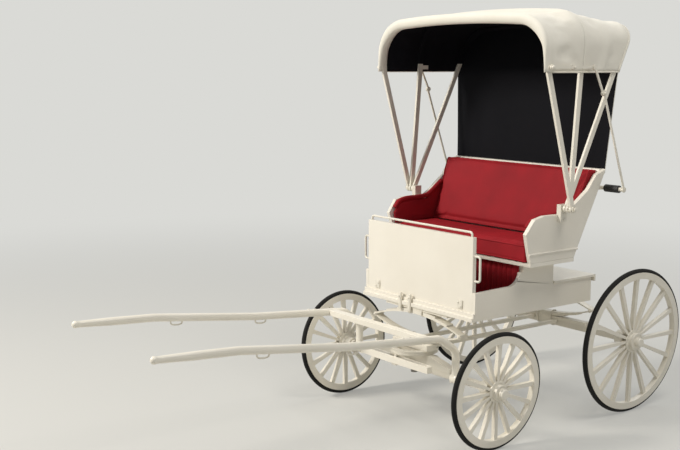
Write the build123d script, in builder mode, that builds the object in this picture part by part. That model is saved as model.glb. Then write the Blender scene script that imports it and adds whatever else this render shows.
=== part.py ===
from build123d import *
import math
import os

os.makedirs("parts", exist_ok=True)

# Horse drawn carriage: a small four-wheeled pony buggy with a falling hood.
# Millimetres. +X is forward, +Y is the carriage's left, +Z is up.
# The origin is on the ground, under the centre of the overall box.

# Wheels and axles
front_wheel_dia = 512
rear_wheel_dia = 682
wheelbase = 880
track = 1060
camber = 2.5
tyre_width = 22
tyre_thickness = 16
felloe_depth = 30
felloe_width = 28
spoke_count = 16
spoke_root_width = 12
spoke_tip_width = 20
spoke_root_thickness = 24
spoke_tip_thickness = 16
spoke_seat = 6
dish = 8
front_hub_radius = 34
rear_hub_radius = 40
hub_end_step = 4
hub_barrel_length = 68
hub_flange_rise = 14
hub_flange_thickness = 5
hub_inner_length = 70
hub_outer_length = 36
hub_cap_radius = 22
hub_cap_length = 24
hub_cap_round = 7
axle_end_gap = 4
axle_arm_radius = 14
axle_bar = 28
axle_collar_radius = 22
axle_collar_length = 12
running_clearance = 0.05
side_clearance = 2
fit_gap = 0.3

# Body box
body_width = 750
body_length = 745
body_bottom = 521
body_wall = 18
floor_thickness = 20
body_front_setback = 15
side_height = 124
riser_front_setback = 290
riser_rear_setback = 485
deck_height = 112
lid_thickness = 12
lid_overhang_rear = 22
lid_overhang_side = 8
lid_gap = 2
lid_lip_thickness = 10
lid_lip_height = 20
dash_side_inset = 18
dash_top = 885
dash_thickness = 20
sill_step = 9
sill_height = 36
dash_rail_radius = 5
dash_rail_rise = 20
dash_rail_inset = 17
rail_bend = 12
handle_reach = 34
handle_bottom = 696
handle_length = 108

# Seat
seat_board_height = 742
seat_board_thickness = 18
seat_front_setback = 245
seat_depth = 278
seat_width = 918
seat_back_height = 389
seat_back_recline = 22.6
seat_side_flare = 4.5
seat_panel_thickness = 20
arm_rise = 204
cushion_margin = 2
cushion_thickness = 80
cushion_front_overhang = 12
back_cushion_thickness = 58
fall_thickness = 10
carpet_thickness = 6

# Hood
pivot_rise = 234
pivot_ahead_of_seat_rear = 114
bow_thickness = 12
bow_width = 24
bow_layer_gap = 5
rear_bow_inner = 499
hood_top = 1865
valance_height = 285
front_leg_lean = 16.2
front_lean = 3.5
middle_lean = -4.64
rear_roof_lean = -18.05
rear_lean = -26.04
front_crown_drop = 27
roof_rear_drop = 34
rear_crown_drop = 49
knee_drop = 7
rear_knee_drop = 17
knob_rise = 20
knob_behind = 43
front_knob_ahead = 9
knuckle_drop = 110
knuckle_behind = 56
hood_corner_radius = 165
rear_corner_radius = 110
hood_crown = 26
canopy_thickness = 4
pin_radius = 8
pin_head_radius = 13
pin_head_thickness = 6
pin_head_gap = 1
bow_eye_radius = 17
knob_radius = 6
knob_proud = 1.2
knob_plate_length = 52
knob_plate_height = 20
knob_plate_ahead = 18
prop_thickness = 5
prop_gap = 2
iron_clearance = 5.5
link_width = 10
link_eye_radius = 12
prop_block_radius = 17
prop_block_length = 78
prop_rest_radius = 9
prop_rest_behind = 187
prop_rest_rise = 301
prop_arm_inner = 430
prop_arm_width = 20
prop_arm_height = 18
post_inner = 470
post_outer = 494
post_length = 40
post_sink = 30
valance_gap = 1.5
front_bow_land = 42
curtain_overlap = 20
curtain_behind = 303.6
curtain_foot_behind = 5
curtain_foot_inset = 8
valance_cut = 40
hole_margin = 2
trim_allowance = 60

# Springs and under-gear
spring_half_span = 290
spring_width = 40
leaf_thickness = 6
leaf_shares = (1.0, 0.72, 0.45)
spring_eye_radius = 10
eye_overhang = 3
front_spring_ahead = 10
spring_bar_thickness = 12
spring_bar_length = 420
spring_iron_width = 32
spring_iron_spacing = 220
spring_iron_lap = 160
axle_bed_height = 50
axle_bed_width = 40
axle_bed_length = 520
bed_end_height = 18
bed_shoulder = 20
ring_outer_radius = 110
ring_inner_radius = 84
ring_thickness = 10
ring_gap = 0.4
headblock_height = 27
headblock_width = 60
headblock_length = 240
rear_bed_height = 18
kingpin_radius = 9
kingpin_tail = 22
kingpin_nut_radius = 16
kingpin_nut_height = 16
reach_spacing = 150
reach_width = 24
reach_height = 16
reach_rise = 2

# Shafts
shaft_reach = 1500
shaft_spacing = 670
shaft_radius = 17
shaft_tip_radius = 13
shaft_knob_radius = 15
shaft_knee_radius = 60
shaft_bend = 30
tug_length = 160
shaft_heel_radius = 21
shaft_heel_width = 36
shaft_pivot_ahead = 55
shaft_pivot_rise = 16
coupling_pin_radius = 7
lug_thickness = 8
lug_height = 28
lug_gap = 1
lug_drop = 6
lug_ahead = 10
pin_proud = 2
crossbar_ahead = 225
crossbar_height = 26
crossbar_width = 40
singletree_length = 460
singletree_ahead = 110
singletree_rise = 25
singletree_height = 30
singletree_depth = 40
singletree_end_depth = 28
singletree_bolt_radius = 6
trace_eye_inset = 22
trace_eye_radius = 6
tree_bracket_width = 30
tree_bracket_thickness = 8
tree_bolt_head = 8

# Stations worked out from the sizes above
front_radius = front_wheel_dia / 2
rear_radius = rear_wheel_dia / 2
rear_axle_x = (rear_radius - wheelbase - shaft_reach) / 2
front_axle_x = rear_axle_x + wheelbase
tilt = math.radians(camber)
shoulder = hub_inner_length + side_clearance + dish
body_front = front_axle_x - body_front_setback
body_rear = body_front - body_length
half_body = body_width / 2
floor_top = body_bottom + floor_thickness
side_top = body_bottom + side_height
deck_z = body_bottom + deck_height
seat_front = body_front - seat_front_setback
seat_rear = seat_front - seat_depth
seat_floor = seat_board_height + seat_board_thickness
seat_top = seat_floor + seat_back_height
half_seat = seat_width / 2
recline = math.radians(seat_back_recline)
flare = math.radians(seat_side_flare)
seat_top_rear = seat_rear - seat_back_height * math.tan(recline)
half_seat_top = half_seat + seat_back_height * math.tan(flare)
pivot_x = seat_rear + pivot_ahead_of_seat_rear
pivot_z = seat_floor + pivot_rise
bow_pitch = bow_thickness + bow_layer_gap
middle_bow_inner = rear_bow_inner + bow_pitch
front_bow_inner = middle_bow_inner + bow_pitch
front_bow_outer = front_bow_inner + bow_thickness
valance_inner = front_bow_outer + valance_gap
valance_outer = valance_inner + canopy_thickness
valance_bottom = hood_top - valance_height
dash_width = body_width - 2 * dash_side_inset
dash_rail_height = dash_top + dash_rail_rise
dash_rail_width = dash_width - 2 * dash_rail_inset
crown_height = hood_top - pivot_z
cloth_space = canopy_thickness + fit_gap


def leaning(lean, rise):
    """How far ahead of the pivots a line that leans by an angle is, at a rise above them."""
    return rise * math.tan(math.radians(lean))


# Hood points from the pivots, ahead and above: a knee is where a bow's leg meets its hoop,
# a knob carries the irons, and a knuckle is where two irons join
knee_rise = valance_bottom - pivot_z - knee_drop
rear_knee_rise = valance_bottom - pivot_z - rear_knee_drop
knob_height = valance_bottom - pivot_z + knob_rise
front_knee = (leaning(front_leg_lean, knee_rise), knee_rise)
middle_knee = (leaning(middle_lean, knee_rise), knee_rise)
rear_knee = (leaning(rear_lean, rear_knee_rise), rear_knee_rise)
knob = (middle_knee[0] - knob_behind, knob_height)
front_knob = (front_knee[0] + front_knob_ahead, knob_height)
knuckle = (knob[0] - knuckle_behind, knob_height - knuckle_drop)
front_crown = crown_height - front_crown_drop
front_hoop = (front_crown - cloth_space - 1 - knee_rise) / math.cos(math.radians(front_lean))
middle_roof = crown_height / math.cos(math.radians(middle_lean))
middle_hoop = middle_roof - cloth_space - math.hypot(*middle_knee)
rear_roof = (crown_height - roof_rear_drop) / math.cos(math.radians(rear_roof_lean))
rear_top = (crown_height - rear_crown_drop) / math.cos(math.radians(rear_lean))
rear_hoop = rear_top - cloth_space - math.hypot(*rear_knee)
hood_front = pivot_x + front_knee[0] + leaning(front_lean, front_hoop) + bow_width / 2 + 3


def hub_height(radius):
    """Height of a wheel's centre when its leaning, round-topped tyre stands on the ground."""
    crown = tyre_width / 2
    return (radius - crown) * math.cos(tilt) + crown


def wheel_plane(x, side, radius):
    """The plane of a wheel: its normal is the axle arm, pointing outwards and a little down."""
    outward = (0, side * math.cos(tilt), -math.sin(tilt))
    return Plane(origin=(x, side * track / 2, hub_height(radius)), x_dir=(1, 0, 0), z_dir=outward)


def save(builder, name):
    """Name a finished sub-part and write it."""
    builder.part.label = name
    export_step(builder.part, f"parts/{name}.step")


def make_wheel(name, x, side, radius, hub_radius):
    """A painted wooden wheel with hub, spokes and felloe, and its rubber tyre."""
    plane = wheel_plane(x, side, radius)
    rim_outer = radius - tyre_thickness
    rim_inner = rim_outer - felloe_depth
    bore = axle_arm_radius + running_clearance
    flange_radius = hub_radius + hub_flange_rise
    with BuildPart(mode=Mode.PRIVATE) as spoke:
        root = Plane(origin=(bore + spoke_seat, 0, -dish), x_dir=(0, 1, 0), z_dir=(1, 0, 0))
        tip = Plane(origin=(rim_inner + spoke_seat, 0, 0), x_dir=(0, 1, 0), z_dir=(1, 0, 0))
        with BuildSketch(root):
            Rectangle(spoke_root_width, spoke_root_thickness)
        with BuildSketch(tip):
            Rectangle(spoke_tip_width, spoke_tip_thickness)
        loft()
    with BuildPart(plane) as wheel:
        with BuildSketch(plane.offset(-felloe_width / 2)):
            Circle(rim_outer)
            Circle(rim_inner, mode=Mode.SUBTRACT)
        extrude(amount=felloe_width)
        with PolarLocations(0, spoke_count):
            add(spoke)
        flange_out = spoke_root_thickness / 2 + hub_flange_thickness
        hub_start = -dish - hub_inner_length
        cap_start = -dish + hub_outer_length
        discs = (
            (hub_start, hub_radius - hub_end_step, cap_start - hub_start),
            (-dish - hub_barrel_length / 2, hub_radius, hub_barrel_length),
            (-dish - flange_out, flange_radius, hub_flange_thickness),
            (-dish + flange_out - hub_flange_thickness, flange_radius, hub_flange_thickness),
            (cap_start, hub_cap_radius, hub_cap_length),
        )
        for start, disc_radius, length in discs:
            with BuildSketch(plane.offset(start)):
                Circle(disc_radius)
            extrude(amount=length)
        cap_end = wheel.faces().sort_by(lambda face: (face.center() - plane.origin).dot(plane.z_dir))[-1]
        fillet(cap_end.edges(), hub_cap_round)
        with BuildSketch(plane.offset(hub_start)):
            Circle(bore)
        extrude(amount=cap_start + hub_cap_length / 2 - hub_start, mode=Mode.SUBTRACT)
    save(wheel, f"{name}_wheel")

    with BuildPart() as tyre:
        crown = tyre_width / 2
        profile = Plane(origin=plane.origin, x_dir=plane.x_dir, z_dir=-plane.y_dir)
        with BuildSketch(profile):
            with BuildLine():
                inner = rim_outer + fit_gap / 3
                Polyline((radius - crown, crown), (inner, crown), (inner, -crown), (radius - crown, -crown))
                RadiusArc((radius - crown, -crown), (radius - crown, crown), -crown)
            make_face()
        revolve(axis=Axis(plane.origin, plane.z_dir))
    save(tyre, f"{name}_tyre")


def make_axle(name, x, radius, kingpin_hole):
    """A square steel axle with round arms that droop with the camber."""
    bar_z = hub_height(radius) + shoulder * math.sin(tilt)
    bar_length = track - 2 * shoulder * math.cos(tilt)
    with BuildPart() as axle:
        with Locations((x, 0, bar_z)):
            Box(axle_bar, bar_length, axle_bar)
        for side in (1, -1):
            plane = wheel_plane(x, side, radius)
            with BuildSketch(plane.offset(-shoulder - axle_collar_length)):
                Circle(axle_collar_radius)
            extrude(amount=axle_collar_length)
            with BuildSketch(plane.offset(-shoulder)):
                Circle(axle_arm_radius)
            extrude(amount=shoulder - dish + hub_outer_length + hub_cap_length / 2 - axle_end_gap)
        if kingpin_hole:
            with Locations((x, 0, bar_z)):
                Cylinder(kingpin_radius + running_clearance, axle_bar * 2, mode=Mode.SUBTRACT)
    save(axle, name)
    return bar_z + axle_bar / 2


front_axle_top = make_axle("front_axle", front_axle_x, front_radius, True)
rear_axle_top = make_axle("rear_axle", rear_axle_x, rear_radius, False)

# Columns: end, axle, wheel radius, hub radius
wheel_table = (
    ("front", front_axle_x, front_radius, front_hub_radius),
    ("rear", rear_axle_x, rear_radius, rear_hub_radius),
)
for end, axle_x, *radii in wheel_table:
    for side_name, side_sign in (("left", 1), ("right", -1)):
        make_wheel(f"{end}_{side_name}", axle_x, side_sign, *radii)

# Heights of the under-gear, from the front axle up to the body
bed_top = front_axle_top + axle_bed_height
lower_ring_top = bed_top + ring_thickness
upper_ring_bottom = lower_ring_top + ring_gap
upper_ring_top = upper_ring_bottom + ring_thickness
headblock_top = upper_ring_top + headblock_height
spring_top = body_bottom - spring_bar_thickness
rear_bed_top = rear_axle_top + rear_bed_height
front_spring_x = body_front - spring_width / 2 + front_spring_ahead

with BuildPart() as axle_bed:
    with BuildSketch(Plane.YZ.offset(front_axle_x - axle_bed_width / 2)):
        with BuildLine():
            Polyline(
                (-axle_bed_length / 2, front_axle_top),
                (axle_bed_length / 2, front_axle_top),
                (axle_bed_length / 2, front_axle_top + bed_end_height),
                (ring_outer_radius + bed_shoulder, bed_top),
                (-ring_outer_radius - bed_shoulder, bed_top),
                (-axle_bed_length / 2, front_axle_top + bed_end_height),
                close=True,
            )
        make_face()
    extrude(amount=axle_bed_width)
    with Locations((front_axle_x, 0, bed_top)):
        Cylinder(kingpin_radius + running_clearance, axle_bed_height * 3, mode=Mode.SUBTRACT)
save(axle_bed, "front_axle_bed")


def make_ring(name, bottom):
    """One plate of the fifth wheel: a ring with a cross bar at the kingpin."""
    with BuildPart() as ring:
        with BuildSketch(Plane.XY.offset(bottom)):
            with Locations((front_axle_x, 0)):
                Circle(ring_outer_radius)
                Circle(ring_inner_radius, mode=Mode.SUBTRACT)
                Rectangle(axle_bed_width, ring_inner_radius + ring_outer_radius)
                Circle(kingpin_radius + running_clearance, mode=Mode.SUBTRACT)
        extrude(amount=ring_thickness)
    save(ring, name)


make_ring("fifth_wheel_lower", bed_top)
make_ring("fifth_wheel_upper", upper_ring_bottom)

with BuildPart() as headblock:
    with BuildSketch(Plane.XY.offset(upper_ring_top)):
        with Locations((front_axle_x, 0)):
            Rectangle(headblock_width, headblock_length)
            Circle(kingpin_radius + running_clearance, mode=Mode.SUBTRACT)
    extrude(amount=headblock_height)
save(headblock, "headblock")

with BuildPart() as kingpin:
    pin_bottom = front_axle_top - axle_bar - kingpin_tail
    with BuildSketch(Plane.XY.offset(pin_bottom)):
        with Locations((front_axle_x, 0)):
            Circle(kingpin_radius)
    extrude(amount=headblock_top - pin_bottom)
    with BuildSketch(Plane.XY.offset(pin_bottom)):
        with Locations((front_axle_x, 0)):
            RegularPolygon(kingpin_nut_radius, 6)
    extrude(amount=kingpin_nut_height)
save(kingpin, "kingpin")


def make_spring(name, x, bottom, top):
    """A full-elliptic leaf spring across the carriage, bolted at its eyes."""
    middle = (bottom + top) / 2
    with BuildPart() as spring:
        for direction, edge in ((1, top), (-1, bottom)):
            for leaf, share in enumerate(leaf_shares):
                main_rise = abs(edge - direction * len(leaf_shares) * leaf_thickness - middle)
                radius = (spring_half_span ** 2 + main_rise ** 2) / (2 * main_rise) + leaf * leaf_thickness
                reach = spring_half_span * share
                drop = radius - math.sqrt(radius ** 2 - reach ** 2)
                outer_radius = radius + leaf_thickness
                outer_drop = outer_radius - math.sqrt(outer_radius ** 2 - reach ** 2)
                with BuildSketch(Plane.YZ.offset(x - spring_width / 2)):
                    with BuildLine():
                        base = middle + direction * main_rise + direction * leaf * leaf_thickness
                        outer = base + direction * leaf_thickness
                        ThreePointArc(
                            (-reach, base - direction * drop),
                            (0, base),
                            (reach, base - direction * drop),
                        )
                        Line((reach, base - direction * drop), (reach, outer - direction * outer_drop))
                        ThreePointArc(
                            (reach, outer - direction * outer_drop),
                            (0, outer),
                            (-reach, outer - direction * outer_drop),
                        )
                        Line((-reach, outer - direction * outer_drop), (-reach, base - direction * drop))
                    make_face()
                extrude(amount=spring_width)
        for side in (1, -1):
            with BuildSketch(Plane.YZ.offset(x - spring_width / 2 - eye_overhang)):
                with Locations((side * spring_half_span, middle)):
                    Circle(spring_eye_radius)
            extrude(amount=spring_width + 2 * eye_overhang)
    save(spring, name)


make_spring("front_spring", front_spring_x, headblock_top, spring_top)
make_spring("rear_spring", rear_axle_x, rear_bed_top, spring_top)

with BuildPart() as rear_bed:
    with Locations((rear_axle_x, 0, rear_axle_top + rear_bed_height / 2)):
        Box(axle_bed_width, axle_bed_length, rear_bed_height)
save(rear_bed, "rear_axle_bed")

with BuildPart() as spring_bars:
    with Locations((front_spring_x, 0, body_bottom - spring_bar_thickness / 2)):
        Box(spring_width, spring_bar_length, spring_bar_thickness)
save(spring_bars, "front_spring_bar")

# Two irons run back from under the body to the rear spring's crown
with BuildPart() as pump_handles:
    iron_front = body_rear + spring_iron_lap
    iron_length = iron_front - (rear_axle_x - spring_width / 2)
    for side in (1, -1):
        iron_y = side * spring_iron_spacing / 2
        with Locations((iron_front - iron_length / 2, iron_y, body_bottom - spring_bar_thickness / 2)):
            Box(iron_length, spring_iron_width, spring_bar_thickness)
    with Locations((rear_axle_x, 0, body_bottom - spring_bar_thickness / 2)):
        Box(spring_width, spring_iron_spacing + spring_iron_width, spring_bar_thickness)
save(pump_handles, "rear_spring_irons")

# The reach: two poles from the headblock to the rear axle
reach_front = front_axle_x - headblock_width / 2
reach_rear = rear_axle_x + axle_bed_width / 2
reach_middle_z = upper_ring_top + reach_rise + reach_height / 2
with BuildPart() as reach:
    for side in (1, -1):
        with Locations(((reach_front + reach_rear) / 2, side * reach_spacing / 2, reach_middle_z)):
            Box(reach_front - reach_rear, reach_width, reach_height)
save(reach, "reach_poles")

# Body box
with BuildPart() as floor:
    floor_front = body_front - dash_thickness
    floor_rear = body_rear + body_wall
    with Locations(((floor_front + floor_rear) / 2, 0, body_bottom + floor_thickness / 2)):
        Box(floor_front - floor_rear, body_width - 2 * body_wall, floor_thickness)
save(floor, "body_floor")

riser_front = body_front - riser_front_setback
riser_rear = body_front - riser_rear_setback
# The sweep from the low side up to the riser: ahead of the riser, above the side's top
side_sweep = ((0, 62), (18, 60), (40, 22), (88, 5))


def make_side(name, side):
    """A body side: low at the footwell, swept up under the seat, low again at the rear deck."""
    start = half_body - body_wall if side > 0 else -half_body
    step_corner, sweep_top, sweep_middle, sweep_foot = [
        (riser_front + ahead, side_top + above) for ahead, above in side_sweep
    ]
    with BuildPart() as panel:
        with BuildSketch(Plane.XZ.offset(-start - body_wall)):
            with BuildLine():
                Polyline(
                    sweep_foot,
                    (body_front, side_top),
                    (body_front, body_bottom),
                    (body_rear, body_bottom),
                    (body_rear, deck_z),
                    (riser_rear, deck_z),
                    (riser_rear, seat_board_height),
                    (riser_front, seat_board_height),
                    step_corner,
                    sweep_top,
                )
                ThreePointArc(sweep_top, sweep_middle, sweep_foot)
            make_face()
        extrude(amount=body_wall)
    save(panel, name)


make_side("body_side_left", 1)
make_side("body_side_right", -1)

with BuildPart() as tailboard:
    with Locations((body_rear + body_wall / 2, 0, (body_bottom + deck_z) / 2)):
        Box(body_wall, body_width - 2 * body_wall, deck_height)
save(tailboard, "tailboard")

with BuildPart() as riser_boards:
    for board_x in (riser_front - body_wall / 2, riser_rear + body_wall / 2):
        with Locations((board_x, 0, (floor_top + seat_board_height) / 2)):
            Box(body_wall, body_width - 2 * body_wall, seat_board_height - floor_top)
save(riser_boards, "seat_riser_boards")

with BuildPart() as boot_lid:
    lid_front = riser_rear - lid_gap
    lid_rear = body_rear - lid_overhang_rear
    lid_bottom = deck_z + fit_gap
    with Locations(((lid_front + lid_rear) / 2, 0, lid_bottom + lid_thickness / 2)):
        Box(lid_front - lid_rear, body_width + 2 * lid_overhang_side, lid_thickness)
    with Locations((lid_rear + lid_lip_thickness / 2, 0, lid_bottom - lid_lip_height / 2)):
        Box(lid_lip_thickness, body_width + 2 * lid_overhang_side, lid_lip_height)
save(boot_lid, "boot_lid")

with BuildPart() as dash:
    with Locations((body_front - dash_thickness / 2, 0, (body_bottom + dash_top) / 2)):
        Box(dash_thickness, dash_width, dash_top - body_bottom)
save(dash, "dash_panel")

with BuildPart() as sill:
    for step, share in ((2, 1.0), (1, 2.0)):
        height = sill_height * share / 2
        with Locations((body_front + step * sill_step / 2, 0, body_bottom + height / 2)):
            Box(step * sill_step, body_width, height)
save(sill, "dash_sill")

with BuildPart() as dash_rail:
    half_rail = dash_rail_width / 2
    rail_x = body_front - dash_thickness / 2
    with BuildLine(Plane.YZ.offset(rail_x)) as rail_path:
        FilletPolyline(
            (-half_rail, dash_top),
            (-half_rail, dash_rail_height),
            (half_rail, dash_rail_height),
            (half_rail, dash_top),
            radius=rail_bend,
        )
    with BuildSketch(Plane.XY.offset(dash_top)):
        with Locations((rail_x, -half_rail)):
            Circle(dash_rail_radius)
    sweep(path=rail_path.line)
save(dash_rail, "dash_rail")

with BuildPart() as handles:
    for side in (1, -1):
        handle_x = body_front - dash_thickness / 2
        inner = side * dash_width / 2
        with BuildLine(Plane.YZ.offset(handle_x)) as handle_path:
            FilletPolyline(
                (inner, handle_bottom),
                (inner + side * handle_reach, handle_bottom),
                (inner + side * handle_reach, handle_bottom + handle_length),
                (inner, handle_bottom + handle_length),
                radius=rail_bend,
            )
        with BuildSketch(Plane.XZ.offset(-inner)):
            with Locations((handle_x, handle_bottom)):
                Circle(dash_rail_radius)
        sweep(path=handle_path.line)
save(handles, "dash_handles")

# Seat
with BuildPart() as seat_board:
    with Locations(((seat_front + seat_rear) / 2, 0, seat_board_height + seat_board_thickness / 2)):
        Box(seat_depth, seat_width, seat_board_thickness)
save(seat_board, "seat_board")


def side_profile():
    """Outline of a seat side, seen from the side: low arm in front, swept up to the back."""
    top = seat_back_height
    # Corners ahead of the seat's front or rear edge, and above the seat board
    arm = ((0, 0), (30, 90), (42, 130), (-5, arm_rise - 12), (-60, arm_rise))
    sweep_up = ((86, arm_rise), (39, arm_rise + 29), (-55, top - 87), (-100, top - 23))
    outline = [(seat_front + ahead, above) for ahead, above in arm]
    outline += [(seat_rear + ahead, above) for ahead, above in sweep_up]
    return outline + [(seat_rear - top * math.tan(recline), top), (seat_rear, 0)]


def seat_side_plane(side):
    """Outer face of a seat side, leaning outwards; local y is up the panel."""
    normal = (0, side * math.cos(flare), -math.sin(flare))
    x_dir = (1, 0, 0) if side < 0 else (-1, 0, 0)
    return Plane(origin=(0, side * half_seat, seat_floor), x_dir=x_dir, z_dir=normal)


def make_seat_side(name, side):
    """A seat side panel with its flare."""
    plane = seat_side_plane(side)
    stretch = 1 / math.cos(flare)
    with BuildPart() as panel:
        with BuildSketch(plane):
            with BuildLine():
                Polyline(*[(-side * x, z * stretch) for x, z in side_profile()], close=True)
            make_face()
        extrude(amount=-seat_panel_thickness)
        split(bisect_by=Plane.XY.offset(seat_floor), keep=Keep.TOP)
    save(panel, name)
    return panel.part


seat_sides = {1: make_seat_side("seat_side_left", 1), -1: make_seat_side("seat_side_right", -1)}

# The seat back stands between the sides and leans back with them
inner_bottom = half_seat - seat_panel_thickness / math.cos(flare)


def inner_half_width(height):
    """Half the clear width between the seat sides at a height above the seat board."""
    return inner_bottom + height * math.tan(flare)


def back_slab(name, offset, thickness, low, high, margin):
    """A slab on the slope of the seat back, as wide as the sides allow less a margin."""
    with BuildPart() as slab:
        with BuildSketch(Plane.XY.offset(seat_floor + low)):
            low_x = seat_rear - low * math.tan(recline) + offset / math.cos(recline)
            low_half = inner_half_width(low) - margin
            with Locations((low_x + thickness / math.cos(recline) / 2, 0)):
                Rectangle(thickness / math.cos(recline), low_half * 2)
        with BuildSketch(Plane.XY.offset(seat_floor + high)):
            high_x = seat_rear - high * math.tan(recline) + offset / math.cos(recline)
            high_half = inner_half_width(high) - margin
            with Locations((high_x + thickness / math.cos(recline) / 2, 0)):
                Rectangle(thickness / math.cos(recline), high_half * 2)
        loft()
    save(slab, name)
    return slab.part


seat_back_part = back_slab("seat_back", 0, seat_panel_thickness, 0, seat_back_height, 0)
back_slab(
    "back_cushion",
    seat_panel_thickness + fit_gap,
    back_cushion_thickness,
    cushion_thickness + cushion_margin,
    seat_back_height,
    cushion_margin,
)

with BuildPart() as cushion:
    cushion_rear = seat_rear + seat_panel_thickness + 2 * cushion_margin
    cushion_front = seat_front + cushion_front_overhang
    with BuildSketch(Plane.XY.offset(seat_floor + fit_gap)):
        with Locations(((cushion_front + cushion_rear) / 2, 0)):
            Rectangle(cushion_front - cushion_rear, 2 * (inner_bottom - cushion_margin))
    extrude(amount=cushion_thickness)
save(cushion, "seat_cushion")

with BuildPart() as fall:
    fall_x = riser_front + fit_gap
    fall_bottom = floor_top + carpet_thickness + cushion_margin
    fall_height = seat_board_height - cushion_margin - fall_bottom
    with Locations((fall_x + fall_thickness / 2, 0, fall_bottom + fall_height / 2)):
        Box(fall_thickness, 2 * (half_body - body_wall - cushion_margin), fall_height)
save(fall, "seat_fall")

with BuildPart() as carpet:
    carpet_front = body_front - dash_thickness - cushion_margin
    carpet_rear = riser_front + fall_thickness + 2 * cushion_margin
    with Locations(((carpet_front + carpet_rear) / 2, 0, floor_top + fit_gap + carpet_thickness / 2)):
        Box(carpet_front - carpet_rear, 2 * (half_body - body_wall - cushion_margin), carpet_thickness)
save(carpet, "floor_carpet")

# Hood irons on the seat: a pivot post on each arm, and a prop rest behind each rear corner
arm_top = seat_floor + arm_rise
rest_x = seat_rear - prop_rest_behind
rest_z = seat_floor + prop_rest_rise
layer_1 = valance_outer + iron_clearance
layer_2 = layer_1 + prop_thickness + prop_gap
layer_3 = layer_2 + prop_thickness + prop_gap
layer_end = layer_3 + prop_thickness + prop_gap

with BuildPart() as pivots:
    post_low = arm_top - post_sink
    post_high = pivot_z + pin_radius * 2
    for side in (1, -1):
        with Locations((pivot_x, side * (post_inner + post_outer) / 2, (post_low + post_high) / 2)):
            Box(post_length, post_outer - post_inner, post_high - post_low)
    for side in (1, -1):
        add(seat_sides[side], mode=Mode.SUBTRACT)
    for side in (1, -1):
        with BuildSketch(Plane.XZ.offset(-side * post_inner)):
            with Locations((pivot_x, pivot_z)):
                Circle(pin_radius)
        extrude(amount=-side * (front_bow_outer + pin_head_gap - post_inner))
        with BuildSketch(Plane.XZ.offset(-side * (front_bow_outer + pin_head_gap))):
            with Locations((pivot_x, pivot_z)):
                Circle(pin_head_radius)
        extrude(amount=-side * pin_head_thickness)
save(pivots, "hood_pivots")

with BuildPart() as rests:
    back_x = seat_rear - prop_rest_rise * math.tan(recline) + prop_arm_height
    for side in (1, -1):
        arm_y = side * (prop_arm_inner + prop_arm_width / 2)
        with Locations(((back_x + rest_x) / 2, arm_y, rest_z)):
            Box(back_x - rest_x, prop_arm_width, prop_arm_height)
    add(seat_back_part, mode=Mode.SUBTRACT)
    for side in (1, -1):
        with BuildSketch(Plane.XZ.offset(-side * prop_arm_inner)):
            with Locations((rest_x, rest_z)):
                Circle(prop_rest_radius)
        extrude(amount=-side * (layer_end - prop_arm_inner))
save(rests, "prop_rests")

with BuildPart() as blocks:
    for side in (1, -1):
        with BuildSketch(Plane.XZ.offset(-side * post_inner)):
            with Locations((rest_x, rest_z)):
                Circle(prop_block_radius)
                Circle(prop_rest_radius + fit_gap / 3, mode=Mode.SUBTRACT)
        extrude(amount=-side * prop_block_length)
save(blocks, "prop_blocks")

# Hood bows: each is a pair of legs that pivot on the seat arms, joined by a hoop overhead
# Columns: name, inner face of its legs, knee, lean of the hoop in degrees, height and corner of the hoop
bow_table = (
    ("front_bow", front_bow_inner, front_knee, front_lean, front_hoop, hood_corner_radius),
    ("middle_bow", middle_bow_inner, middle_knee, middle_lean, middle_hoop, hood_corner_radius),
    ("rear_bow", rear_bow_inner, rear_knee, rear_lean, rear_hoop, rear_corner_radius),
)
knobs = {"middle_bow": knob, "front_bow": front_knob}
knob_end = layer_2 + prop_thickness + knob_proud


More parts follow.
